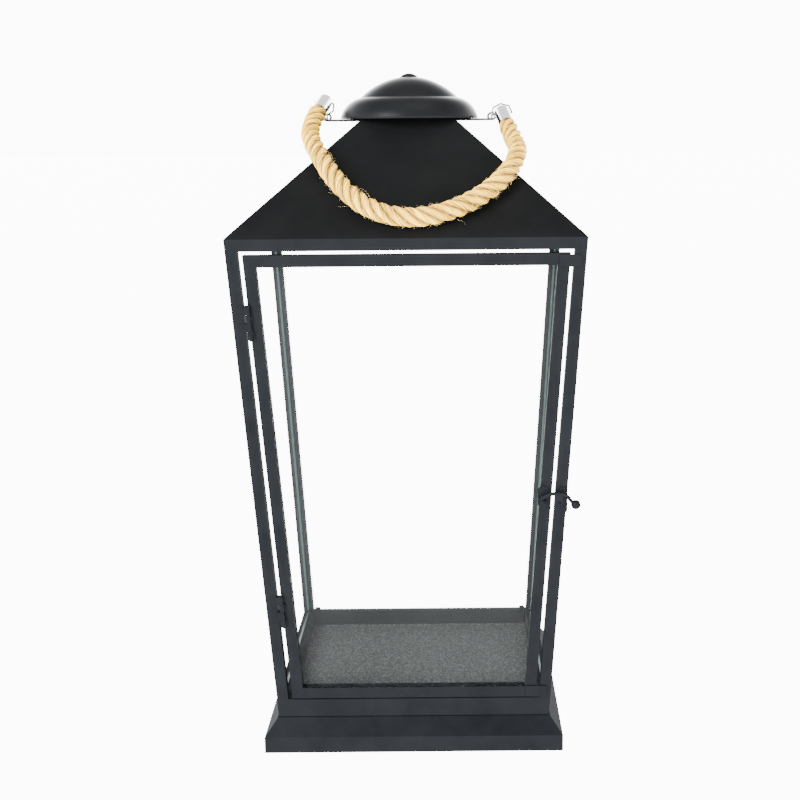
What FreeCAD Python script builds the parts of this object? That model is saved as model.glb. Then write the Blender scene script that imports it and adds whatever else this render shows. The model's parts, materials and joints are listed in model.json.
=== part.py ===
"""Tapered metal and glass lantern with a hinged door, a swan-neck latch and a rope handle.

Millimetres, +Z up, -Y is the door side. The origin is the middle of the footprint, on the
surface that the lantern stands on. Every function returns the solids of one sub-part.
"""
import FreeCAD, Part
import math
import os

V = FreeCAD.Vector
X_AXIS = V(1, 0, 0)
Y_AXIS = V(0, 1, 0)
Z_AXIS = V(0, 0, 1)
ORIGIN = V(0, 0, 0)

# Frame: square tube, narrower at the foot than under the roof
FOOT_HALF = 121.0          # half the frame's outer width at Z_FRAME
TOP_HALF = 150.0           # half the frame's outer width at Z_EAVE
Z_FRAME = 29.0             # underside of the frame, top of the plinth
Z_RAIL = 46.0              # top of the bottom rails
Z_EAVE = 458.0             # top of the frame, where the roof starts
TUBE = 10.0                # outer width of the posts and the top rails
WALL = 1.0                 # wall of every tube
SPREAD = (TOP_HALF - FOOT_HALF) / (Z_EAVE - Z_FRAME)
LEAN_ANGLE = math.degrees(math.atan(SPREAD))

# Plinth and floor
PLINTH_HALF = 133.0
SKIRT_HEIGHT = 14.5
PLINTH_SHEET = 1.2
HEM = 11.0                 # flange turned in under the skirt
DECK = 14.0                # flange under the frame
FLOOR_SHEET = 1.2
FLOOR_LIP = 2.2            # upturned edge of the floor, above its sheet

# Roof
ROOF_LIP = 3.0             # small bevel between the frame's edge and the slope
ROOF_TOP_HALF = 36.0
Z_ROOF_TOP = 559.4
ROOF_SHEET = 1.4           # measured level; square to the slope it is about 0.9
TOP_PLATE = 1.2
VENT_HALF = 24.0           # half length of the two slots in the top plate
VENT_Y = 20.0
VENT_WIDTH = 8.0

# Cap
Z_RIM = 555.4
RIM_RADIUS = 62.4
CAP_SHEET = 0.9
WAIST_RADIUS = 44.5
WAIST_HEIGHT = 18.7
CROWN_RADIUS = 9.0         # flat under the finial
CROWN_HEIGHT = 36.6
FINIAL_HEIGHT = 3.7
SCREW_RADIUS = 2.5
SPACER_RADIUS = 5.0
SCREW_BELOW = 9.0          # end of the screw under the top plate's upper face
NUT_ACROSS = 8.0
NUT_HEIGHT = 4.0

# Glass
GLASS = 2.0
GLASS_INSET = 4.0          # from the frame's outer face to the pane
GLASS_GAP = 1.3            # between a pane's edge and the metal
TAB_HEIGHT = 3.0
TAB_WIDTH = 5.0
TAB_SHEET = 0.8
TAB_GAP = 0.1
TAB_FROM_POST = 2.0
DOOR_GLASS_LAP = 5.0       # of the pane behind the door's frame
DOOR_TAB_REACH = 4.0
DOOR_TAB_HALF = 4.0
DOOR_TAB_SPACING = 45.0    # from the door's ends to the outer tabs

# Door
HINGE_GAP = 4.0
LATCH_GAP = 3.4
Z_DOOR = 46.95
Z_DOOR_TOP = 444.8
STOP_BOTTOMS = {"upper": 433.4, "lower": Z_DOOR + 0.4}
STOP_HEIGHT = 10.2
STOP_SHEET = 1.2
STOP_CORNER = 3.0          # rounded corner over the post
STOP_END = 3.4             # short of the frame's outer edge
TUCK = 0.8                 # of the door's glass tabs behind the stile's outer edge

# Hinges
HINGE_OUT = 2.4            # hinge line in front of the frame's face
KNUCKLE_RADIUS = 2.1
HINGE_PIN_RADIUS = 1.3
PIN_PLAY = 0.06
HINGE_TOPS = {"upper": 402.0, "lower": 144.5}
KNUCKLE = 7.0              # one knuckle's share of the hinge's height
KNUCKLE_GAP = 0.3
LUG_DEPTH = 4.0            # along the post's side face
LUG_CLEAR = 0.4            # from the stile
LUG_WEB = 1.4              # in front of the hinge line
TONGUE_REACH = 3.4         # across the stile's face
TONGUE_SHEET = 1.3

# Latch, laid out on the frame's front face: right of and up from the lever's pivot
Z_LATCH = 230.0
PIVOT_INSET = 20.4         # from the frame's outer edge
CATCH_INSET = 6.9
PLATE_SHEET = 1.0
LEVER_RADIUS = 1.5
LEVER_OUT = 5.4
LEVER_EYE = 3.1            # middle of the wire round the pivot
LEVER_PATH = [(-2.9, 1.1), (0.4, 5.4), (6.2, 8.2), (12.0, 8.8), (20.1, 6.6), (23.7, 2.4), (27.9, -1.2)]
BALL_RADIUS = 4.1
PIVOT_RADIUS = 1.6
PIVOT_HEAD = 2.9
CATCH_RADIUS = 1.5
CATCH_PLAY = 0.3
FORK = 3.5                 # half width of the fork that drops over the catch

# Handle: pins turn in the top plate, everything outboard of them swings together
Z_BAR = 554.2               # just below the cap's rim
BAR_RADIUS = 1.0
TAB_X = 28.0
TAB_HALF = 5.0
TAB_BELOW = 4.0            # from the handle's axis to the tab's end
PIN_HEAD = 2.4
PIN_HOLE = 1.7             # in the roof panels, wide of the pins
EYE_X = 75.0
EYE_RADIUS = 3.4           # middle of the wire
EYE_TURN = 318.0
EYE_LEAN = 35.0            # lean of the eyes at rest, back from upright
LINK_WIRE = 0.7
LINK_REACH = 8.8           # from a ferrule's axis to the bend of the wire
LINK_BENDS = {             # behind the eye and in front of it, round to the ferrule's sides
    "left": ([V(-83.0, 6.0, 563.0)], [V(-69.0, -4.0, 562.5)]),
    "right": ([V(76.5, 8.5, 564.5), V(83.0, 1.5, 568.0), V(90.5, -2.0, 566.0)], []),
}
FERRULE_RADIUS = 7.0
FERRULE_ABOVE = 5.5        # from the cross hole to the rounded end
FERRULE_BELOW = 16.0       # from the cross hole to the mouth
FERRULE_HOLE = {"left": V(-76.5, -5.0, 570.0), "right": V(84.5, -8.0, 559.0)}
FERRULE_WAY = {"left": V(-0.26, -0.84, -0.48), "right": V(0.22, -0.78, -0.58)}
ROPE_RADIUS = 8.0
ROPE_LEAD = 32.0           # straight out of each ferrule
ROPE_ROUTE = [
    (-77.0, -90.0, 527.0),
    (-55.0, -119.5, 498.5),
    (-29.0, -140.0, 480.0),
    (5.0, -147.5, 473.2),
    (38.0, -140.5, 479.5),
    (66.0, -125.5, 492.5),
    (88.0, -108.0, 511.0),
    (96.0, -79.0, 527.0),
]


def half(z):
    """Half the frame's outer width at height z."""
    return FOOT_HALF + SPREAD * (z - Z_FRAME)


def rectangle(x0, x1, y0, y1, z):
    corners = [V(x0, y0, z), V(x1, y0, z), V(x1, y1, z), V(x0, y1, z)]
    return Part.makePolygon(corners + corners[:1])


def leaning_bar(z0, z1, bounds):
    """Solid between two heights whose level sections follow the frame's taper.

    bounds(h) gives x0, x1, y0, y1 for the frame's half width h.
    """
    sections = [rectangle(*bounds(half(z)), z) for z in (z0, z1)]
    return Part.makeLoft(sections, True, True)


def box(x0, x1, y0, y1, z0, z1):
    return Part.makeBox(x1 - x0, y1 - y0, z1 - z0, V(x0, y0, z0))


def rod(start, end, radius):
    return Part.makeCylinder(radius, (end - start).Length, start, end - start)


def turned(shape, degrees):
    """Copy turned about the lantern's upright axis: 0 front, 90 right, 180 rear, 270 left."""
    copy = shape.copy()
    copy.rotate(ORIGIN, Z_AXIS, degrees)
    return copy


def mirrored(shape):
    return shape.mirror(ORIGIN, X_AXIS)


def revolved(points_and_arcs, base, direction):
    """Solid of revolution. Each entry is a (radius, height) point, or a pair (via, end) for an arc."""
    edges = []
    first = None
    last = None
    for entry in points_and_arcs:
        if isinstance(entry[0], tuple):
            via, end = (V(p[0], 0, p[1]) for p in entry)
            edges.append(Part.Arc(last, via, end).toShape())
        else:
            end = V(entry[0], 0, entry[1])
            if last is not None:
                edges.append(Part.LineSegment(last, end).toShape())
        first = first or end
        last = end
    edges.append(Part.LineSegment(last, first).toShape())
    solid = Part.Face(Part.Wire(edges)).revolve(ORIGIN, Z_AXIS, 360)
    solid.Placement = FreeCAD.Placement(base, FreeCAD.Rotation(Z_AXIS, direction))
    return solid


def dome(radius, base, height):
    """Arc from (radius, base) to the axis, as a pair for revolved(), centred on the axis."""
    sphere = (radius ** 2 + height ** 2) / (2 * height)
    centre = base + height - sphere
    middle = math.asin(radius / sphere) / 2
    via = (sphere * math.sin(middle), centre + sphere * math.cos(middle))
    return via, (0, base + height)


# ---------------------------------------------------------------- frame

def post(side_x, side_y):
    def bounds(inset):
        def at(h):
            xs = sorted((side_x * (h - TUBE + inset), side_x * (h - inset)))
            ys = sorted((side_y * (h - TUBE + inset), side_y * (h - inset)))
            return xs[0], xs[1], ys[0], ys[1]
        return at
    outer = leaning_bar(Z_FRAME, Z_EAVE, bounds(0))
    return outer.cut(leaning_bar(Z_FRAME, Z_EAVE, bounds(WALL)))


def rail(z0, z1):
    """Front rail between the posts; the other three are turned copies."""
    outer = leaning_bar(z0, z1, lambda h: (TUBE - h, h - TUBE, -h, TUBE - h))
    inner = leaning_bar(z0 + WALL, z1 - WALL, lambda h: (TUBE - h, h - TUBE, WALL - h, TUBE - WALL - h))
    return outer.cut(inner)


def plinth():
    def shell(inset):
        skirt = box(*[s * (PLINTH_HALF - inset) for s in (-1, 1, -1, 1)], 0, SKIRT_HEIGHT)
        low = rectangle(*[s * (PLINTH_HALF - inset) for s in (-1, 1, -1, 1)], SKIRT_HEIGHT)
        top = rectangle(*[s * (FOOT_HALF + 1 - inset) for s in (-1, 1, -1, 1)], Z_FRAME - inset)
        return skirt.fuse(Part.makeLoft([low, top], True, True))
    body = shell(0).cut(shell(PLINTH_SHEET))
    hem = box(*[s * PLINTH_HALF for s in (-1, 1, -1, 1)], 0, PLINTH_SHEET)
    hem = hem.cut(box(*[s * (PLINTH_HALF - HEM) for s in (-1, 1, -1, 1)], 0, PLINTH_SHEET))
    hole = box(*[s * (FOOT_HALF - DECK) for s in (-1, 1, -1, 1)], SKIRT_HEIGHT, Z_FRAME)
    return body.fuse(hem).cut(hole).removeSplitter()


def floor_pan():
    inner = FOOT_HALF - TUBE - 0.1
    within = inner - FLOOR_SHEET
    top = Z_FRAME + FLOOR_SHEET + FLOOR_LIP
    pan = box(-inner, inner, -inner, inner, Z_FRAME, top)
    return pan.cut(box(-within, within, -within, within, Z_FRAME + FLOOR_SHEET, top))


# ---------------------------------------------------------------- roof and cap

def roof_panel():
    """Front slope with its bevelled lip, mitred at both hips."""
    def pyramid(inset):
        levels = [(TOP_HALF, Z_EAVE), (TOP_HALF - ROOF_LIP, Z_EAVE + ROOF_LIP), (ROOF_TOP_HALF, Z_ROOF_TOP)]
        wires = [rectangle(*[s * (w - inset) for s in (-1, 1, -1, 1)], z) for w, z in levels]
        lip = Part.makeLoft(wires[:2], True, True)
        return lip.fuse(Part.makeLoft(wires[1:], True, True))
    reach = 2 * TOP_HALF
    sector = Part.Face(Part.makePolygon([V(0, 0, 0), V(-reach, -reach, 0), V(reach, -reach, 0), V(0, 0, 0)]))
    sector = sector.extrude(V(0, 0, 2 * Z_ROOF_TOP))
    return pyramid(0).cut(pyramid(ROOF_SHEET)).common(sector).removeSplitter()


def pin_hole(radius):
    """Cutter along the handle's axis, through both sides of the roof."""
    return rod(V(-80, 0, Z_BAR), V(80, 0, Z_BAR), radius)


def roof_side_panel():
    """Left or right slope, drawn at the front, with a wide hole that an eye pin passes through."""
    cutter = pin_hole(PIN_HOLE)
    cutter.rotate(ORIGIN, Z_AXIS, 90)
    return roof_panel().cut(cutter)


def roof_top_plate():
    """Vented plate that closes the roof, with two tabs turned down for the eye pins."""
    edge = ROOF_TOP_HALF - ROOF_SHEET
    bottom = Z_ROOF_TOP - TOP_PLATE
    plate = box(-edge, edge, -edge, edge, bottom, Z_ROOF_TOP)
    plate = plate.cut(rod(V(0, 0, bottom - 1), V(0, 0, Z_ROOF_TOP + 1), SCREW_RADIUS + 0.25))
    for y in (-VENT_Y, VENT_Y):
        low, high = y - VENT_WIDTH / 2, y + VENT_WIDTH / 2
        plate = plate.cut(box(-VENT_HALF, VENT_HALF, low, high, bottom - 1, Z_ROOF_TOP + 1))
    for side in (-1, 1):
        xs = sorted((side * TAB_X, side * (TAB_X + TOP_PLATE)))
        plate = plate.fuse(box(xs[0], xs[1], -TAB_HALF, TAB_HALF, Z_BAR - TAB_BELOW, Z_ROOF_TOP))
    return plate.cut(pin_hole(BAR_RADIUS + PIN_PLAY)).removeSplitter()


def dome_cap():
    t = CAP_SHEET
    outside = [
        (RIM_RADIUS, 0), (RIM_RADIUS, 1.6),
        ((56.8, 11.6), (WAIST_RADIUS + 0.6, WAIST_HEIGHT - 0.2)),
        (WAIST_RADIUS - 0.9, WAIST_HEIGHT + 0.5),
        ((28.0, 30.4), (CROWN_RADIUS, CROWN_HEIGHT)),
    ]
    inside = [
        (SCREW_RADIUS + 0.3, CROWN_HEIGHT), (SCREW_RADIUS + 0.3, CROWN_HEIGHT - t),
        (CROWN_RADIUS, CROWN_HEIGHT - t),
        ((27.4, 29.6), (WAIST_RADIUS - 1.6, WAIST_HEIGHT - 0.4)),
        (WAIST_RADIUS + 0.1, WAIST_HEIGHT - 1.1),
        ((56.1, 11.0), (RIM_RADIUS - t, 1.6)),
        (RIM_RADIUS - t, 0),
    ]
    return revolved(outside + inside, V(0, 0, Z_RIM), Z_AXIS)


def cap_spacer():
    top = Z_RIM + CROWN_HEIGHT - CAP_SHEET
    return rod(V(0, 0, Z_ROOF_TOP), V(0, 0, top), SPACER_RADIUS).cut(
        rod(V(0, 0, Z_ROOF_TOP), V(0, 0, top), SCREW_RADIUS + 0.2))


def finial_screw():
    seat = Z_RIM + CROWN_HEIGHT
    knob = CROWN_RADIUS - 0.4
    head = revolved([(0, 0), (knob, 0), dome(knob, 0, FINIAL_HEIGHT)], V(0, 0, seat), Z_AXIS)
    return head.fuse(rod(V(0, 0, Z_ROOF_TOP - SCREW_BELOW), V(0, 0, seat + 1), SCREW_RADIUS)).removeSplitter()


def finial_nut():
    top = Z_ROOF_TOP - TOP_PLATE
    corner = NUT_ACROSS / math.sqrt(3)
    low = top - NUT_HEIGHT
    ring = [V(corner * math.cos(math.radians(60 * i)), corner * math.sin(math.radians(60 * i)), low)
            for i in range(7)]
    nut = Part.Face(Part.makePolygon(ring)).extrude(V(0, 0, NUT_HEIGHT))
    return nut.cut(rod(V(0, 0, top - 5), V(0, 0, top + 1), SCREW_RADIUS + 0.04))


# ---------------------------------------------------------------- glass

def pane(z0, z1, left_inset, right_inset):
    """Front-facing pane; insets are measured from the frame's outer half width."""
    return leaning_bar(z0, z1, lambda h: (left_inset - h, h - right_inset, GLASS_INSET - h, GLASS_INSET + GLASS - h))


def wall_pane():
    inset = TUBE + GLASS_GAP
    return pane(Z_RAIL + GLASS_GAP, Z_EAVE - TUBE - GLASS_GAP, inset, inset)


def wall_tabs():
    """Small bent tabs at the pane's corners, a pair each side of it, on the bottom and top rails."""
    tabs = []
    near = GLASS_INSET - TAB_GAP - TAB_SHEET
    far = GLASS_INSET + GLASS + TAB_GAP
    for z0, z1 in ((Z_RAIL, Z_RAIL + TAB_HEIGHT), (Z_EAVE - TUBE - TAB_HEIGHT, Z_EAVE - TUBE)):
        for side in (-1, 1):
            for depth in (near, far):
                def bounds(h):
                    xs = sorted((side * (h - TUBE - TAB_FROM_POST), side * (h - TUBE - TAB_FROM_POST - TAB_WIDTH)))
                    return xs[0], xs[1], depth - h, depth + TAB_SHEET - h
                tabs.append(leaning_bar(z0, z1, bounds))
    return Part.makeCompound(tabs)


# ---------------------------------------------------------------- door

def door_parts():
    left = TUBE + HINGE_GAP
    right = TUBE + LATCH_GAP
    low = Z_DOOR
    top = Z_DOOR_TOP

    def tube(z0, z1, bounds, along_x):
        outer = leaning_bar(z0, z1, lambda h: bounds(h, 0))
        cap = WALL if along_x else 0
        return outer.cut(leaning_bar(z0 + cap, z1 - cap, lambda h: bounds(h, WALL)))

    def stile_left(h, w):
        return left - h + w, left + TUBE - h - w, w - h, TUBE - h - w

    def stile_right(h, w):
        return h - right - TUBE + w, h - right - w, w - h, TUBE - h - w

    def cross(h, w):
        return left + TUBE - h, h - right - TUBE, w - h, TUBE - h - w

    lap = TUBE - DOOR_GLASS_LAP
    glass_front = TUBE + TAB_GAP
    glass_back = glass_front + GLASS

    def glass(h):
        return left + lap - h, h - right - lap, glass_front - h, glass_back - h

    tabs = []
    for z in (low + DOOR_TAB_SPACING, (low + top) / 2, top - DOOR_TAB_SPACING):
        for side, edge in ((-1, left), (1, right)):
            def foot(h):
                xs = sorted((side * (h - edge - TUCK), side * (h - edge - lap + 0.3)))
                return xs[0], xs[1], TUBE - h, glass_back + TAB_GAP - h

            def lip(h):
                xs = sorted((side * (h - edge - TUCK), side * (h - edge - lap - DOOR_TAB_REACH)))
                return xs[0], xs[1], glass_back + TAB_GAP - h, glass_back + TAB_GAP + TAB_SHEET - h
            tab = leaning_bar(z - DOOR_TAB_HALF, z + DOOR_TAB_HALF, foot)
            tab = tab.fuse(leaning_bar(z - DOOR_TAB_HALF, z + DOOR_TAB_HALF, lip))
            tabs.append(tab.removeSplitter())
    return {
        "door_stile_left": tube(low, top, stile_left, False),
        "door_stile_right": tube(low, top, stile_right, False),
        "door_rail_bottom": tube(low, low + TUBE, cross, True),
        "door_rail_top": tube(top - TUBE, top, cross, True),
        "door_glass": leaning_bar(low + lap, top - lap, glass),
        "door_glass_tabs": Part.makeCompound(tabs),
    }


# ---------------------------------------------------------------- hinges

def hinge_point(z):
    return V(TUBE + HINGE_GAP - half(z), -half(z) - HINGE_OUT, z)


def hinge_lugs(top):
    """Two knuckles, each on a lug that stands in the gap on the post's side face."""
    lugs = []
    for index in (0, 2):
        z1 = top - index * KNUCKLE
        z0 = z1 - KNUCKLE + KNUCKLE_GAP
        lug = leaning_bar(z0, z1, lambda h: (TUBE - h, TUBE + HINGE_GAP - LUG_CLEAR - h,
                                          -h - HINGE_OUT - LUG_WEB, LUG_DEPTH - h))
        lug = lug.fuse(rod(hinge_point(z0), hinge_point(z1), KNUCKLE_RADIUS))
        lugs.append(lug.cut(rod(hinge_point(z0 - 1), hinge_point(z1 + 1), HINGE_PIN_RADIUS + PIN_PLAY)))
    return Part.makeCompound(lugs)


def door_knuckles(top):
    """Two knuckles, each on a short tongue that lies on the stile's front face."""
    knuckles = []
    for index in (1, 3):
        z1 = top - index * KNUCKLE
        z0 = z1 - KNUCKLE + KNUCKLE_GAP
        tongue = leaning_bar(z0, z1, lambda h: (TUBE + HINGE_GAP - h, TUBE + HINGE_GAP + TONGUE_REACH - h,
                                             -h - TONGUE_SHEET, -h))
        tongue = tongue.fuse(rod(hinge_point(z0), hinge_point(z1), KNUCKLE_RADIUS))
        knuckles.append(tongue.cut(rod(hinge_point(z0 - 1), hinge_point(z1 + 1), HINGE_PIN_RADIUS + PIN_PLAY)))
    return Part.makeCompound(knuckles)


def hinge_pin(top):
    shank = rod(hinge_point(top - 4 * KNUCKLE - 0.6), hinge_point(top + 0.8), HINGE_PIN_RADIUS)
    head = rod(hinge_point(top + 0.3), hinge_point(top + 1.4), KNUCKLE_RADIUS)
    return shank.fuse(head).removeSplitter()


# ---------------------------------------------------------------- latch

def on_face(shape, inset):
    """Places a solid drawn at the origin, outward is -Y, on the right of the frame's front face."""
    placed = shape.copy()
    placed.rotate(ORIGIN, X_AXIS, LEAN_ANGLE)
    placed.translate(V(half(Z_LATCH) - inset, -half(Z_LATCH), Z_LATCH))
    return placed


def rounded_plate(x0, x1, z0, z1, radius):
    plate = box(x0, x1, -PLATE_SHEET, 0, z0, z1)
    upright = [e for e in plate.Edges if abs(e.tangentAt(e.FirstParameter).y) > 0.9]
    return plate.makeFillet(radius, upright)


def latch_door_plate():
    """Round-ended plate on the door's stile, with the boss that the lever turns against."""
    plate = rounded_plate(-4.6, 4.6, -4.6, 14.0, 4.0)
    boss = rod(ORIGIN, V(0, LEVER_RADIUS + 0.3 - LEVER_OUT, 0), 2.8)
    hole = rod(V(0, 1, 0), V(0, -10, 0), PIVOT_RADIUS + PIN_PLAY)
    return on_face(plate.fuse(boss).cut(hole).removeSplitter(), PIVOT_INSET)


def latch_pivot():
    out = -LEVER_OUT - LEVER_RADIUS
    pin = rod(V(0, -0.2, 0), V(0, out - 0.8, 0), PIVOT_RADIUS)
    head = revolved([(0, 0), (PIVOT_HEAD, 0), dome(PIVOT_HEAD, 0, 1.3)], V(0, out - 0.4, 0), V(0, -1, 0))
    return on_face(pin.fuse(head).removeSplitter(), PIVOT_INSET)


def latch_lever():
    """Swan-neck rod curled round the pivot, with a fork below it that drops over the catch."""
    curve = Part.BSplineCurve()
    curve.interpolate([V(x, -LEVER_OUT, z) for x, z in LEVER_PATH])
    start = curve.value(curve.FirstParameter)
    tangent = curve.tangent(curve.FirstParameter)[0]
    ring = Part.Wire(Part.Circle(start, tangent, LEVER_RADIUS).toShape())
    neck = Part.Wire(curve.toShape()).makePipeShell([ring], True, True)
    eye = Part.makeTorus(LEVER_EYE, LEVER_RADIUS, V(0, -LEVER_OUT, 0), Y_AXIS)
    half_web = LEVER_RADIUS - 0.4
    hub = rod(V(0, half_web - LEVER_OUT, 0), V(0, -half_web - LEVER_OUT, 0), LEVER_EYE)
    catch_x = PIVOT_INSET - CATCH_INSET
    fork = box(catch_x - FORK, catch_x + FORK, -half_web - LEVER_OUT, half_web - LEVER_OUT, -1.0, 8.2)
    slot = rod(V(catch_x, 0, 0), V(catch_x, -10, 0), CATCH_RADIUS + CATCH_PLAY)
    mouth = CATCH_RADIUS + CATCH_PLAY
    slot = slot.fuse(box(catch_x - mouth, catch_x + mouth, -10, 0, -3, 0))
    lever = neck.fuse([eye, hub, Part.makeSphere(LEVER_RADIUS, start), fork.cut(slot)])
    hole = rod(V(0, 0, 0), V(0, -10, 0), PIVOT_RADIUS + PIN_PLAY)
    x, z = LEVER_PATH[-1]
    ball = Part.makeSphere(BALL_RADIUS, V(x, -LEVER_OUT, z))
    return on_face(lever.cut(hole).cut(ball), PIVOT_INSET)


def latch_ball():
    x, z = LEVER_PATH[-1]
    return on_face(Part.makeSphere(BALL_RADIUS, V(x, -LEVER_OUT, z)), PIVOT_INSET)


def catch_plate():
    plate = rounded_plate(-3.0, 7.6, -10.0, 13.0, 2.5)
    return on_face(plate.cut(rod(V(0, 1, 0), V(0, -3, 0), CATCH_RADIUS)), CATCH_INSET)


def catch_pin():
    """Plain pin with a domed end, on the post."""
    out = LEVER_OUT + LEVER_RADIUS - 0.2
    profile = [(0, 0), (CATCH_RADIUS, 0), (CATCH_RADIUS, out), dome(CATCH_RADIUS, out, 1.2)]
    return on_face(revolved(profile, ORIGIN, V(0, -1, 0)), CATCH_INSET)


def door_stop(low):
    """Flat tab on the door's right corner that closes against the front of the post."""
    edge = TUBE + LATCH_GAP
    top = low + STOP_HEIGHT
    on_door = leaning_bar(low, top, lambda h: (h - edge - TUBE + 1, h - edge, -STOP_SHEET - h, -h))
    on_post = leaning_bar(low, top, lambda h: (h - edge, h - STOP_END, -STOP_SHEET - h, -0.1 - h))
    tab = on_door.fuse(on_post).removeSplitter()
    corner = V(half(top) - STOP_END, 0, top)
    across = [e for e in tab.Edges if abs(e.CenterOfMass.x - corner.x) < 0.2 and abs(e.CenterOfMass.z - top) < 0.2
              and abs(e.tangentAt(e.FirstParameter).y) > 0.9]
    return tab.makeFillet(STOP_CORNER, across)


# ---------------------------------------------------------------- handle

def eye_centre(side):
    """Middle of an eye, leaned back over the handle's axis."""
    lean = math.radians(EYE_LEAN)
    x = EYE_X if side == "right" else -EYE_X
    return V(x, EYE_RADIUS * math.sin(lean), Z_BAR + EYE_RADIUS * math.cos(lean))


def ferrule_way(side):
    return V(FERRULE_WAY[side]).normalize()


def ferrule_mouth(side):
    return FERRULE_HOLE[side] + ferrule_way(side) * FERRULE_BELOW


def eye_pin(side):
    """Headed pin that turns in the top plate's tab and ends in a curled eye."""
    shank = rod(V(TAB_X - 0.3, 0, Z_BAR), V(EYE_X, 0, Z_BAR), BAR_RADIUS)
    head = rod(V(TAB_X - 1.5, 0, Z_BAR), V(TAB_X - 0.3, 0, Z_BAR), PIN_HEAD)
    section = Part.Face(Part.Wire(Part.Circle(V(EYE_X, 0, Z_BAR), X_AXIS, BAR_RADIUS).toShape()))
    eye = section.revolve(V(EYE_X, 0, Z_BAR + EYE_RADIUS), V(0, -1, 0), EYE_TURN)
    pin = shank.fuse([head, eye]).removeSplitter()
    pin.rotate(V(0, 0, Z_BAR), X_AXIS, -EYE_LEAN)
    return pin if side == "right" else mirrored(pin)


def ferrule_cross(side):
    """Direction of a ferrule's cross hole, level with its face and square to its axis."""
    way = ferrule_way(side)
    return (X_AXIS - way * way.x).normalize()


def link(side):
    """Bent wire loop, through the eye from front to back and through the ferrule's cross hole."""
    square = V(0, math.cos(math.radians(EYE_LEAN)), -math.sin(math.radians(EYE_LEAN)))
    outward = 1.0 if side == "right" else -1.0
    reach = ferrule_cross(side) * LINK_REACH * outward
    behind, before = LINK_BENDS[side]
    points = [eye_centre(side) + square * 5.0] + behind + [FERRULE_HOLE[side] + reach]
    points += [FERRULE_HOLE[side] - reach] + before + [eye_centre(side) - square * 4.0]
    solids = []
    for start, end in zip(points, points[1:] + points[:1]):
        solids.append(rod(start, end, LINK_WIRE))
        solids.append(Part.makeSphere(LINK_WIRE, start))
    return solids[0].fuse(solids[1:]).removeSplitter()


def ferrule(side):
    r = FERRULE_RADIUS
    centre = FERRULE_HOLE[side]
    body = revolved(
        [(0, -FERRULE_ABOVE), (r - 3.4, -FERRULE_ABOVE), ((r - 1.0, 1.0 - FERRULE_ABOVE), (r, 3.4 - FERRULE_ABOVE)),
         (r, FERRULE_BELOW), (0, FERRULE_BELOW)], centre, ferrule_way(side))
    reach = ferrule_cross(side) * 2 * r
    return body.cut(rod(centre - reach, centre + reach, LINK_WIRE + 0.08))


def rope_grip():
    """Tube along straight runs joined by tangent arcs, from one ferrule's mouth to the other's."""
    left = ferrule_mouth("left")
    right = ferrule_mouth("right")
    route = [left, left + ferrule_way("left") * ROPE_LEAD]
    route += [V(*p) for p in ROPE_ROUTE]
    route += [right + ferrule_way("right") * ROPE_LEAD, right]
    edges = []
    last = route[0]
    length = 0.0
    for before, corner, after in zip(route, route[1:], route[2:]):
        run_in = (corner - before).Length
        run_out = (after - corner).Length
        way_in = (corner - before).normalize()
        way_out = (after - corner).normalize()
        turn = way_in.getAngle(way_out)
        cut = 0.45 * min(run_in, run_out)
        radius = cut / math.tan(turn / 2)
        start = corner - way_in * cut
        end = corner + way_out * cut
        middle = (way_out - way_in).normalize() * (radius / math.cos(turn / 2) - radius)
        edges.append(Part.LineSegment(last, start).toShape())
        edges.append(Part.Arc(start, corner + middle, end).toShape())
        length += (start - last).Length + radius * turn
        last = end
        print("rope run %.1f turn %.1f radius %.1f" % (run_in, math.degrees(turn), radius))
    edges.append(Part.LineSegment(last, route[-1]).toShape())
    length += (route[-1] - last).Length
    path = Part.Wire(edges)
    ring = Part.Wire(Part.Circle(route[0], route[1] - route[0], ROPE_RADIUS).toShape())
    tube = path.makePipeShell([ring], True, True)
    section = math.pi * ROPE_RADIUS ** 2
    print("rope length %.1f volume ratio %.4f" % (length, tube.Volume / (section * length)))
    return tube


# ---------------------------------------------------------------- whole lantern

def all_parts():
    parts = {"base_plinth": plinth(), "floor_pan": floor_pan()}
    for side_x, x_name in ((-1, "left"), (1, "right")):
        for side_y, y_name in ((-1, "front"), (1, "rear")):
            parts["post_%s_%s" % (y_name, x_name)] = post(side_x, side_y)

    for name, angle in (("front", 0), ("right", 90), ("rear", 180), ("left", 270)):
        parts["bottom_rail_" + name] = turned(rail(Z_FRAME, Z_RAIL), angle)
        parts["top_rail_" + name] = turned(rail(Z_EAVE - TUBE, Z_EAVE), angle)
        panel = roof_side_panel() if name in ("left", "right") else roof_panel()
        parts["roof_panel_" + name] = turned(panel, angle)
        if name != "front":
            parts["glass_" + name] = turned(wall_pane(), angle)
            parts["glass_tabs_" + name] = turned(wall_tabs(), angle)

    parts["roof_top_plate"] = roof_top_plate()
    parts["dome_cap"] = dome_cap()
    parts["cap_spacer"] = cap_spacer()
    parts["finial_screw"] = finial_screw()
    parts["finial_nut"] = finial_nut()

    parts.update(door_parts())
    for name, top in HINGE_TOPS.items():
        parts["hinge_lugs_" + name] = hinge_lugs(top)
        parts["hinge_knuckles_" + name] = door_knuckles(top)
        parts["hinge_pin_" + name] = hinge_pin(top)

    parts["latch_door_plate"] = latch_door_plate()
    parts["latch_pivot"] = latch_pivot()
    parts["latch_lever"] = latch_lever()
    parts["latch_ball"] = latch_ball()
    parts["catch_plate"] = catch_plate()
    parts["catch_pin"] = catch_pin()
    for name, low in STOP_BOTTOMS.items():
        parts["door_stop_" + name] = door_stop(low)

    for side in ("left", "right"):
        parts["eye_pin_" + side] = eye_pin(side)
        parts["link_" + side] = link(side)
        parts["ferrule_" + side] = ferrule(side)
    parts["rope_grip"] = rope_grip()
    return parts


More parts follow.
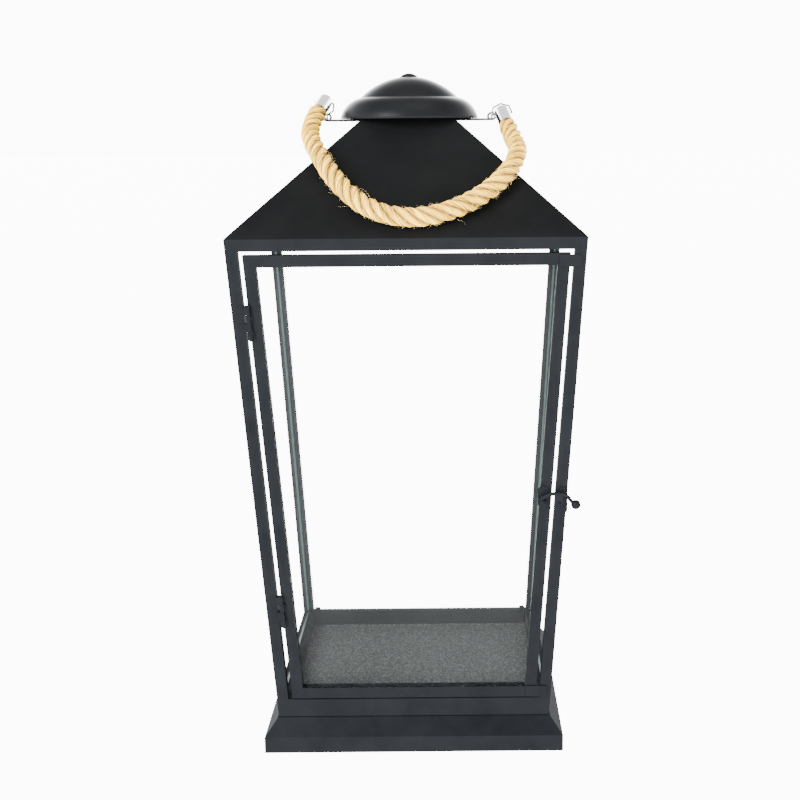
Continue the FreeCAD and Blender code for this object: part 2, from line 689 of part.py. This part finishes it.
def main():
    os.makedirs("parts", exist_ok=True)
    for name, shape in sorted(all_parts().items()):
        shape.exportStep("parts/%s.step" % name)
        print("%-22s solids %d valid %s volume %.0f" % (name, len(shape.Solids), shape.isValid(), shape.Volume))


main()
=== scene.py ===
"""Looks, stage, light and camera for the tapered candle lantern. Metres, in the frame's own axes."""
import json
import math
import bpy
import numpy as np
from mathutils import Matrix, Vector


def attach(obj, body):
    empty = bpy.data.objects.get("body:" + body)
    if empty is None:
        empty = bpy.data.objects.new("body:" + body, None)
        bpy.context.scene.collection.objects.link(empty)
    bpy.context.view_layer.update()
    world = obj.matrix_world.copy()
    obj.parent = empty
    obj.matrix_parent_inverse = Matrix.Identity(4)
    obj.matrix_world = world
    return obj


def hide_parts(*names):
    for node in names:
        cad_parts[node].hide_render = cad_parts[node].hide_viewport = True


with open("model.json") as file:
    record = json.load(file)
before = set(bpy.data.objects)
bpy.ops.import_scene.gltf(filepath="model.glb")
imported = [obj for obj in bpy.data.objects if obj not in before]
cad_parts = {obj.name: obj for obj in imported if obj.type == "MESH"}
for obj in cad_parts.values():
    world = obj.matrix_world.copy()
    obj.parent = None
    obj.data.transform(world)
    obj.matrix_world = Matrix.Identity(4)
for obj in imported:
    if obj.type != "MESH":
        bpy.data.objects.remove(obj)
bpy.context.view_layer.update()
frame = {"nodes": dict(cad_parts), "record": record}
rng = np.random.default_rng(7)

# ---------------------------------------------------------------- camera

CAMERA_AT = (0.0393, -1.321, 0.5464)
CAMERA_PITCH = 10.82       # degrees below level
CAMERA_ROLL = -0.5
LENS_MM = 64.0             # on a 36 mm sensor, square frame
SHIFT_X = -0.0688          # the lantern stands left of the lens axis


def add_camera():
    data = bpy.data.cameras.new("camera")
    data.sensor_width = 36.0
    data.lens = LENS_MM
    data.shift_x = SHIFT_X
    data.clip_start = 0.01
    camera = bpy.data.objects.new("camera", data)
    bpy.context.scene.collection.objects.link(camera)
    pitch = math.radians(CAMERA_PITCH)
    roll = math.radians(CAMERA_ROLL)
    ahead = Vector((0, math.cos(pitch), -math.sin(pitch)))
    right = Vector((1, 0, 0))
    up = right.cross(ahead)
    right, up = (right * math.cos(roll) + up * math.sin(roll), up * math.cos(roll) - right * math.sin(roll))
    turn = Matrix((right, up, -ahead)).transposed().to_4x4()
    camera.matrix_world = Matrix.Translation(CAMERA_AT) @ turn
    bpy.context.scene.camera = camera


add_camera()


# ---------------------------------------------------------------- rope

ROPE_DIAMETER = 0.016
ROPE_LAY = 0.045           # one turn of the four strands
STRANDS = 4
STRAND_OUT = 0.00415       # rope's middle to a strand's middle
STRAND_RADIUS = 0.0039
YARNS = 8
YARN_DEPTH = 0.00040
YARN_TURN = 0.9            # turns of the yarns in a strand, against the strands' own
YARN_PAINTED_SHADE = 0.50          # painted shade on the lines between yarns, as a share of the darkest painted shade between strands
PAINTED_SHADE_DEPTH = 0.0028      # below the rope's outside, where the painted shade in a fold between strands is darkest
FIBRE_STRETCH = 0.09       # how much fibre patterns are drawn out along a strand
RING_POINTS = 48
NECK = 0.84                # thickness where the rope goes into a ferrule, of the full
NECK_LENGTH = 0.004
SWELL = (0.00022, 0.009)   # height and spacing of the strands' slow unevenness
RIPPLE = (0.00012, 0.003)  # and of the fine one
FIBRE_COUNT = 620
FIBRE_RADIUS = 0.000035
FIBRE_POINTS = 5
ROPE_POINTS = [
    (-0.08065, -0.01842, 0.56233),
    (-0.08896, -0.04525, 0.54700),
    (-0.0770, -0.0900, 0.5270),
    (-0.0550, -0.1195, 0.4985),
    (-0.0290, -0.1400, 0.4800),
    (0.0050, -0.1475, 0.4732),
    (0.0380, -0.1405, 0.4795),
    (0.0660, -0.1255, 0.4925),
    (0.0880, -0.1080, 0.5110),
    (0.0960, -0.0790, 0.5270),
    (0.09510, -0.04557, 0.53106),
    (0.08803, -0.02052, 0.54969),
]


def spline_points(name, points, resolution):
    """Points along a smooth spline, as the spline itself gives them."""
    curve = bpy.data.curves.new(name, "CURVE")
    curve.dimensions = "3D"
    spline = curve.splines.new("NURBS")
    spline.points.add(len(points) - 1)
    for point, place in zip(spline.points, points):
        point.co = (*place, 1.0)
    spline.order_u = 3
    spline.use_endpoint_u = True
    spline.resolution_u = resolution
    holder = bpy.data.objects.new(name, curve)
    bpy.context.scene.collection.objects.link(holder)
    bpy.context.view_layer.update()
    line = bpy.data.meshes.new_from_object(holder)
    found = np.array([v.co[:] for v in line.vertices])
    bpy.data.objects.remove(holder)
    bpy.data.meshes.remove(line)
    return found


def moving_frames(line):
    """Distance, side and up vectors along a line, carried without twist."""
    steps = np.gradient(line, axis=0)
    ahead = steps / np.linalg.norm(steps, axis=1)[:, None]
    gaps = np.linalg.norm(np.diff(line, axis=0), axis=1)
    along = np.concatenate([[0.0], np.cumsum(gaps)])
    side = np.zeros_like(line)
    side[0] = np.cross(ahead[0], (0, 0, 1))
    side[0] /= np.linalg.norm(side[0])
    for i in range(1, len(line)):
        s = side[i - 1] - ahead[i] * np.dot(side[i - 1], ahead[i])
        side[i] = s / np.linalg.norm(s)
    return along, side, np.cross(ahead, side)


def tube_mesh(name, rings):
    """Closed smooth mesh from an array of rings of points."""
    count, around = rings.shape[:2]
    vertices = rings.reshape(-1, 3)
    faces = []
    for i in range(count - 1):
        a = i * around
        b = a + around
        for j in range(around):
            k = (j + 1) % around
            faces.append((a + j, a + k, b + k, b + j))
    faces.append(tuple(range(around))[::-1])
    faces.append(tuple(range((count - 1) * around, count * around)))
    mesh = bpy.data.meshes.new(name)
    mesh.from_pydata(vertices.tolist(), [], faces)
    mesh.polygons.foreach_set("use_smooth", [True] * len(mesh.polygons))
    mesh.update()
    return mesh


def smooth_noise(points, scale, seed):
    """Sum of seeded sine waves, between about -1 and 1."""
    waves = np.random.default_rng(seed)
    total = np.zeros(points.shape[:-1])
    for _ in range(6):
        direction = waves.normal(size=3)
        direction *= 2 * math.pi / (scale * waves.uniform(0.7, 1.5) * np.linalg.norm(direction))
        total += np.sin(points @ direction + waves.uniform(0, 6.28))
    return total / 3


def strand_meshes(line):
    """Strands laid right-handed round the line, each with its yarns, unevenness and painted shade values for
    the folds between strands and the lines between yarns.
    """
    along, side, up = moving_frames(line)
    length = along[-1]
    angle = np.linspace(0, 2 * math.pi, RING_POINTS, endpoint=False)
    edge = np.minimum(along, length - along)
    neck = NECK + (1 - NECK) * np.clip(edge / NECK_LENGTH, 0, 1) ** 0.6
    meshes = []
    for number in range(STRANDS):
        turn = 2 * math.pi * (along / ROPE_LAY + number / STRANDS)
        outward = side * np.cos(turn)[:, None] + up * np.sin(turn)[:, None]
        across = up * np.cos(turn)[:, None] - side * np.sin(turn)[:, None]
        middle = line + outward * (STRAND_OUT * neck)[:, None]
        yarn_turn = angle[None, :] - turn[:, None] * YARN_TURN
        radius = STRAND_RADIUS + YARN_DEPTH * (np.abs(np.cos(yarn_turn * YARNS / 2)) - 0.6)
        from_middle = np.cos(angle)[None, :, None] * outward[:, None, :]
        from_middle = from_middle + np.sin(angle)[None, :, None] * across[:, None, :]
        rings = middle[:, None, :] + radius[:, :, None] * neck[:, None, None] * from_middle
        uneven = SWELL[0] * smooth_noise(rings, SWELL[1], 11 + number)
        uneven = uneven + RIPPLE[0] * smooth_noise(rings, RIPPLE[1], 31 + number)
        outward_of_ring = rings - middle[:, None, :]
        outward_of_ring /= np.linalg.norm(outward_of_ring, axis=2)[:, :, None]
        rings = rings + outward_of_ring * uneven[:, :, None]
        mesh = tube_mesh("strand", rings)
        # painted shade: darkest deep in the folds between strands, with a weaker painted shade along the
        # lines between yarns
        out_here = np.linalg.norm(rings - line[:, None, :], axis=2)
        yarn = 1 - np.abs(np.cos(yarn_turn * YARNS / 2))
        painted_shade_between_strands = np.clip((ROPE_DIAMETER / 2 - out_here) / PAINTED_SHADE_DEPTH, 0, 1) ** 0.8
        painted_crease_shade = painted_shade_between_strands + YARN_PAINTED_SHADE * yarn ** 2
        shade = mesh.attributes.new("painted_crease_shade", "FLOAT", "POINT")
        shade.data.foreach_set("value", np.clip(painted_crease_shade, 0, 1).astype(np.float32).ravel())
        across_yarns = STRAND_RADIUS * np.stack([np.cos(yarn_turn), np.sin(yarn_turn)], axis=2)
        lengthwise = np.broadcast_to((along * FIBRE_STRETCH + number)[:, None, None], yarn_turn.shape + (1,))
        straight = mesh.attributes.new("fibre", "FLOAT_VECTOR", "POINT")
        straight.data.foreach_set("vector", np.concatenate([across_yarns, lengthwise], axis=2).ravel())
        meshes.append(mesh)
    return meshes


def joined(name, meshes):
    """One object from the strand meshes, which keeps their painted shade and fibre values."""
    vertices = []
    faces = []
    painted_shades = []
    fibres_along = []
    for mesh in meshes:
        base = len(vertices)
        vertices += [v.co[:] for v in mesh.vertices]
        painted_shades += [item.value for item in mesh.attributes["painted_crease_shade"].data]
        fibres_along += [c for item in mesh.attributes["fibre"].data for c in item.vector]
        faces += [tuple(base + i for i in p.vertices) for p in mesh.polygons]
    whole = bpy.data.meshes.new(name)
    whole.from_pydata(vertices, [], faces)
    whole.polygons.foreach_set("use_smooth", [True] * len(whole.polygons))
    whole.attributes.new("painted_crease_shade", "FLOAT", "POINT").data.foreach_set("value", painted_shades)
    whole.attributes.new("fibre", "FLOAT_VECTOR", "POINT").data.foreach_set("vector", fibres_along)
    obj = bpy.data.objects.new(name, whole)
    bpy.context.scene.collection.objects.link(obj)
    return obj


def loose_fibres(line, count):
    """Fine stray fibres that stand off the rope, each a thin bent thread."""
    along, side, up = moving_frames(line)
    ahead = np.cross(side, up)
    curve = bpy.data.curves.new("rope_fibres", "CURVE")
    curve.dimensions = "3D"
    curve.bevel_depth = FIBRE_RADIUS
    curve.bevel_resolution = 0
    for _ in range(count):
        i = int(rng.integers(4, len(line) - 4))
        angle = rng.uniform(0, 2 * math.pi)
        out = side[i] * math.cos(angle) + up[i] * math.sin(angle)
        round_it = up[i] * math.cos(angle) - side[i] * math.sin(angle)
        reach = min(0.0010 + rng.exponential(0.0006), 0.0024)
        lean = (ahead[i] if rng.random() < 0.5 else -ahead[i]) * 0.8 + round_it * rng.normal(0, 0.7)
        size = rng.uniform(0.003, 0.007)
        spline = curve.splines.new("POLY")
        spline.points.add(FIBRE_POINTS - 1)
        for step, point in enumerate(spline.points):
            t = step / (FIBRE_POINTS - 1)
            height = ROPE_DIAMETER / 2 - 0.0012 + reach * math.sin(math.pi * min(t * 0.8, 1))
            place = line[i] + out * height + lean * size * t + rng.normal(0, 0.00018, 3)
            point.co = (*place, 1.0)
            point.radius = 1.0 - 0.6 * t
    holder = bpy.data.objects.new("rope_fibres", curve)
    bpy.context.scene.collection.objects.link(holder)
    bpy.context.view_layer.update()
    mesh = bpy.data.meshes.new_from_object(holder)
    bpy.data.objects.remove(holder)
    obj = bpy.data.objects.new("rope_fibres", mesh)
    bpy.context.scene.collection.objects.link(obj)
    return obj


rope_line = spline_points("rope_route", ROPE_POINTS, 40)
rope = joined("rope_strands", strand_meshes(rope_line))
fibres = loose_fibres(rope_line, FIBRE_COUNT)
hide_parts("rope_grip")
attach(rope, "handle")
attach(fibres, "handle")


# ---------------------------------------------------------------- materials

# the share of a pane's face that scatters light, as a film of dust does
DOOR_HAZE = 0.0036
REAR_HAZE = 0.0008
SIDE_HAZE = 0.0012


def shader(name):
    """A new node material, its Principled shader and a function that adds linked nodes."""
    material = bpy.data.materials.new(name)
    material.use_nodes = True
    tree = material.node_tree
    tree.nodes.clear()
    out = tree.nodes.new("ShaderNodeOutputMaterial")
    bsdf = tree.nodes.new("ShaderNodeBsdfPrincipled")
    tree.links.new(bsdf.outputs[0], out.inputs["Surface"])
    return material, tree, bsdf, out


def noise(tree, scale, detail=3.0, rough=0.55, source=None):
    """Noise in object coordinates, per metre."""
    node = tree.nodes.new("ShaderNodeTexNoise")
    node.inputs["Scale"].default_value = scale
    node.inputs["Detail"].default_value = detail
    node.inputs["Roughness"].default_value = rough
    if source is None:
        source = tree.nodes.new("ShaderNodeTexCoord").outputs["Object"]
    tree.links.new(source, node.inputs["Vector"])
    return node.outputs["Fac"]


def ramp(tree, factor, stops):
    """Colour ramp from a list of (position, colour)."""
    node = tree.nodes.new("ShaderNodeValToRGB")
    bands = node.color_ramp.elements
    while len(bands) < len(stops):
        bands.new(0.5)
    for band, (place, colour) in zip(bands, stops):
        band.position = place
        band.color = (*colour, 1.0)
    tree.links.new(factor, node.inputs["Fac"])
    return node.outputs["Color"]


def spread(tree, factor, low, high):
    """Maps 0.3 to 0.7 of a noise onto low to high."""
    node = tree.nodes.new("ShaderNodeMapRange")
    node.inputs["From Min"].default_value = 0.3
    node.inputs["From Max"].default_value = 0.7
    node.inputs["To Min"].default_value = low
    node.inputs["To Max"].default_value = high
    tree.links.new(factor, node.inputs["Value"])
    return node.outputs["Result"]


def bump(tree, bsdf, height, distance, strength):
    """Relief from a height, given to the shader; the bumped normal is returned as well."""
    node = tree.nodes.new("ShaderNodeBump")
    node.inputs["Strength"].default_value = strength
    node.inputs["Distance"].default_value = distance
    tree.links.new(height, node.inputs["Height"])
    tree.links.new(node.outputs["Normal"], bsdf.inputs["Normal"])
    return node.outputs["Normal"]


def coat(name, dark, light, gloss, glancing, rough_low, rough_high, scale):
    """Black powder coat: dull, with fine orange peel and a weak gloss that grows at a glancing angle."""
    material, tree, bsdf, out = shader(name)
    colour = ramp(tree, noise(tree, scale), [(0.3, dark), (0.7, light)])
    tree.links.new(colour, bsdf.inputs["Base Color"])
    rough = spread(tree, noise(tree, 90.0), rough_low, rough_high)
    tree.links.new(rough, bsdf.inputs["Roughness"])
    bsdf.inputs["Specular IOR Level"].default_value = 0.0
    shine = tree.nodes.new("ShaderNodeBsdfGlossy")
    tree.links.new(rough, shine.inputs["Roughness"])
    tree.links.new(bump(tree, bsdf, noise(tree, 600.0, 2.0), 0.00003, 0.3), shine.inputs["Normal"])
    glance = tree.nodes.new("ShaderNodeLayerWeight")
    glance.inputs["Blend"].default_value = 0.06
    share = tree.nodes.new("ShaderNodeMath")
    share.operation = "MULTIPLY_ADD"
    tree.links.new(glance.outputs["Fresnel"], share.inputs[0])
    share.inputs[1].default_value = glancing
    tree.links.new(spread(tree, noise(tree, 25.0), gloss * 0.85, gloss * 1.15), share.inputs[2])
    mix = tree.nodes.new("ShaderNodeMixShader")
    tree.links.new(share.outputs[0], mix.inputs[0])
    tree.links.new(bsdf.outputs[0], mix.inputs[1])
    tree.links.new(shine.outputs[0], mix.inputs[2])
    tree.links.new(mix.outputs[0], out.inputs["Surface"])
    return material


def speckled_grey():
    """Hammered grey coat with a fine speckle."""
    material, tree, bsdf, _ = shader("speckled_grey")
    colour = ramp(tree, noise(tree, 640.0, 2.0), [
        (0.38, (0.0125, 0.0135, 0.0135)), (0.52, (0.0175, 0.0190, 0.0188)), (0.64, (0.0330, 0.0350, 0.0345))])
    tree.links.new(colour, bsdf.inputs["Base Color"])
    tree.links.new(spread(tree, noise(tree, 60.0), 0.34, 0.44), bsdf.inputs["Roughness"])
    bsdf.inputs["Specular IOR Level"].default_value = 0.0
    bump(tree, bsdf, noise(tree, 900.0, 2.0), 0.0001, 0.5)
    return material


def bare_metal(name, colour, low, high):
    """Bare or plated metal with fine scuffs."""
    material, tree, bsdf, _ = shader(name)
    tinted = ramp(tree, noise(tree, 160.0), [(0.3, tuple(0.88 * c for c in colour)), (0.7, colour)])
    tree.links.new(tinted, bsdf.inputs["Base Color"])
    bsdf.inputs["Metallic"].default_value = 1.0
    tree.links.new(spread(tree, noise(tree, 500.0), low, high), bsdf.inputs["Roughness"])
    bump(tree, bsdf, noise(tree, 2500.0, 2.0), 0.00002, 0.4)
    return material


def pane_glass(name, along_x, haze):
    """Clear pane: see-through faces with a thin haze, dark green at the cut edges.

    along_x says that the pane faces left or right; otherwise it faces front or back.
    """
    material, tree, bsdf, out = shader(name)
    geometry = tree.nodes.new("ShaderNodeNewGeometry")
    parts = tree.nodes.new("ShaderNodeSeparateXYZ")
    tree.links.new(geometry.outputs["True Normal"], parts.inputs["Vector"])
    facing = tree.nodes.new("ShaderNodeMath")
    facing.operation = "ABSOLUTE"
    tree.links.new(parts.outputs["X" if along_x else "Y"], facing.inputs[0])
    on_face = tree.nodes.new("ShaderNodeMath")
    on_face.operation = "GREATER_THAN"
    on_face.inputs[1].default_value = 0.6
    tree.links.new(facing.outputs[0], on_face.inputs[0])
    bsdf.inputs["Base Color"].default_value = (0.013, 0.024, 0.022, 1.0)
    bsdf.inputs["Roughness"].default_value = 0.35
    bsdf.inputs["Specular IOR Level"].default_value = 0.04
    clear = tree.nodes.new("ShaderNodeBsdfTransparent")
    clear.inputs["Color"].default_value = (0.994, 0.999, 0.997, 1.0)
    dust = tree.nodes.new("ShaderNodeBsdfDiffuse")
    dust.inputs["Color"].default_value = (0.90, 0.94, 0.94, 1.0)
    face = tree.nodes.new("ShaderNodeMixShader")
    tree.links.new(spread(tree, noise(tree, 9.0), haze * 0.85, haze * 1.15), face.inputs[0])
    tree.links.new(clear.outputs[0], face.inputs[1])
    tree.links.new(dust.outputs[0], face.inputs[2])
    whole = tree.nodes.new("ShaderNodeMixShader")
    tree.links.new(on_face.outputs[0], whole.inputs[0])
    tree.links.new(bsdf.outputs[0], whole.inputs[1])
    tree.links.new(face.outputs[0], whole.inputs[2])
    tree.links.new(whole.outputs[0], out.inputs["Surface"])
    return material


def jute(name, dark, light, drawn_out):
    """Natural fibre: uneven straw colour, dull, with fibre-scale relief, and darkened by the mesh's painted
    shade value towards a painted shade colour in the folds. drawn_out follows the strands.
    """
    material, tree, bsdf, _ = shader(name)
    source = None
    if drawn_out:
        straight = tree.nodes.new("ShaderNodeAttribute")
        straight.attribute_name = "fibre"
        source = straight.outputs["Vector"]
    middle = tuple((a + b) / 2 for a, b in zip(dark, light))
    hairs = noise(tree, 620.0, 4.0, 0.75, source)
    colour = ramp(tree, hairs, [(0.40, dark), (0.49, middle), (0.58, light)])
    # painted shade in the folds between strands and yarns: colour mixed towards a third of the dark tone by
    # the mesh's painted shade value
    painted_crease_shade = tree.nodes.new("ShaderNodeAttribute")
    painted_crease_shade.attribute_name = "painted_crease_shade"
    painted_shade_mix = tree.nodes.new("ShaderNodeMix")
    painted_shade_mix.data_type = "RGBA"
    tree.links.new(painted_crease_shade.outputs["Fac"], painted_shade_mix.inputs["Factor"])
    tree.links.new(colour, painted_shade_mix.inputs["A"])
    painted_shade_mix.inputs["B"].default_value = (*[0.34 * c for c in dark], 1.0)
    tree.links.new(painted_shade_mix.outputs["Result"], bsdf.inputs["Base Color"])
    bsdf.inputs["Roughness"].default_value = 0.86
    bsdf.inputs["Specular IOR Level"].default_value = 0.25
    bump(tree, bsdf, hairs, 0.0006, 0.9)
    return material


black = coat("black_coat", (0.0019, 0.0023, 0.0030), (0.0031, 0.0036, 0.0044),
             0.0024, 0.08, 0.34, 0.46, 35.0)
roof_black = coat("roof_coat", (0.0019, 0.0020, 0.0021), (0.0028, 0.0029, 0.0030),
                  0.0016, 0.08, 0.50, 0.62, 22.0)
cap_black = coat("cap_coat", (0.0024, 0.0027, 0.0030), (0.0030, 0.0033, 0.0036),
                 0.0019, 1.6, 0.30, 0.42, 22.0)
floor_grey = speckled_grey()
steel = bare_metal("zinc_steel", (0.50, 0.51, 0.53), 0.25, 0.40)
dark_steel = bare_metal("dark_steel", (0.045, 0.047, 0.052), 0.28, 0.42)
chrome = bare_metal("chrome_plate", (0.88, 0.89, 0.90), 0.06, 0.14)
straw = jute("jute_rope", (0.20, 0.098, 0.006), (0.86, 0.505, 0.026), True)
hair = jute("jute_fibre", (0.66, 0.48, 0.20), (0.88, 0.72, 0.40), False)

by_slot = {"black_metal": black, "grey_coat": floor_grey, "steel": steel, "chrome": chrome, "jute": hair}
for part in frame["record"]["subparts"]:
    node = part["node"]
    slot = part["material_slot"]
    if slot == "clear_glass":
        side_pane = node in ("glass_left", "glass_right")
        haze = {"door_glass": DOOR_HAZE, "glass_rear": REAR_HAZE}.get(node, SIDE_HAZE)
        material = pane_glass("clear_" + node, side_pane, haze)
    elif node.startswith("roof_panel"):
        material = roof_black
    elif node in ("dome_cap", "finial_screw"):
        material = cap_black
    elif node.startswith(("eye_pin", "link")):
        material = dark_steel
    else:
        material = by_slot[slot]
    mesh = frame["nodes"][node].data
    mesh.materials.clear()
    mesh.materials.append(material)
rope.data.materials.append(straw)
fibres.data.materials.append(hair)


# ---------------------------------------------------------------- stage and light

WORLD_BACK = 11.5
WORLD_FRONT_LEFT = 10.5
WORLD_FRONT_RIGHT = 7.0
WORLD_OVERHEAD = 0.15      # of the level at the same side
FLOOR_GLOW = 12.0


def floor_plane(size, colour):
    """Plain white floor that is lit from within, so that it stays even."""
    bpy.ops.mesh.primitive_plane_add(size=size)
    plane = bpy.context.object
    plane.name = "floor"
    material, tree, bsdf, _ = shader("floor")
    tint = ramp(tree, noise(tree, 3.0), [(0.3, tuple(0.98 * c for c in colour)), (0.7, colour)])
    tree.links.new(tint, bsdf.inputs["Base Color"])
    bsdf.inputs["Roughness"].default_value = 0.9
    bsdf.inputs["Emission Color"].default_value = (1, 1, 1, 1)
    bsdf.inputs["Emission Strength"].default_value = FLOOR_GLOW
    plane.data.materials.append(material)


def softbox(name, place, target, size, power):
    """Area light at a place, turned to a target."""
    data = bpy.data.lights.new(name, "AREA")
    data.shape = "RECTANGLE"
    data.size, data.size_y = size
    data.energy = power
    lamp = bpy.data.objects.new(name, data)
    bpy.context.scene.collection.objects.link(lamp)
    lamp.location = place
    lamp.visible_camera = False
    lamp.rotation_euler = (Vector(target) - Vector(place)).to_track_quat("-Z", "Y").to_euler()


floor_plane(60.0, (0.02, 0.02, 0.02))
softbox("key", (-1.2, -1.6, 1.5), (0, -0.1, 0.4), (1.1, 1.1), 210)
softbox("fill", (1.7, -1.2, 0.9), (0, 0, 0.3), (1.2, 1.4), 15)
softbox("top", (0.2, -0.5, 2.4), (0, 0, 0.3), (1.4, 1.4), 30)


def studio_world():
    """White behind the lantern, dimmer in front, most of all on the right, and dim overhead."""
    world = bpy.data.worlds.new("studio")
    bpy.context.scene.world = world
    world.use_nodes = True
    tree = world.node_tree
    direction = tree.nodes.new("ShaderNodeTexCoord").outputs["Generated"]
    parts = tree.nodes.new("ShaderNodeSeparateXYZ")
    tree.links.new(direction, parts.inputs["Vector"])

    def fall(source, near, far, at_near, at_far):
        """Smooth change from one level to another, each a number or a node's output."""
        node = tree.nodes.new("ShaderNodeMapRange")
        node.interpolation_type = "SMOOTHSTEP"
        for socket, value in zip(("From Min", "From Max", "To Min", "To Max"), (near, far, at_near, at_far)):
            if isinstance(value, float):
                node.inputs[socket].default_value = value
            else:
                tree.links.new(value, node.inputs[socket])
        tree.links.new(source, node.inputs["Value"])
        return node.outputs["Result"]

    level = tree.nodes.new("ShaderNodeMath")
    level.operation = "MULTIPLY"
    front = fall(parts.outputs["X"], -0.6, 0.6, WORLD_FRONT_LEFT, WORLD_FRONT_RIGHT)
    tree.links.new(fall(parts.outputs["Y"], -0.2, 0.5, front, WORLD_BACK), level.inputs[0])
    tree.links.new(fall(parts.outputs["Z"], 0.25, 0.75, 1.0, WORLD_OVERHEAD), level.inputs[1])
    tree.links.new(level.outputs[0], tree.nodes["Background"].inputs["Strength"])
    tree.nodes["Background"].inputs["Color"].default_value = (1, 1, 1, 1)


studio_world()
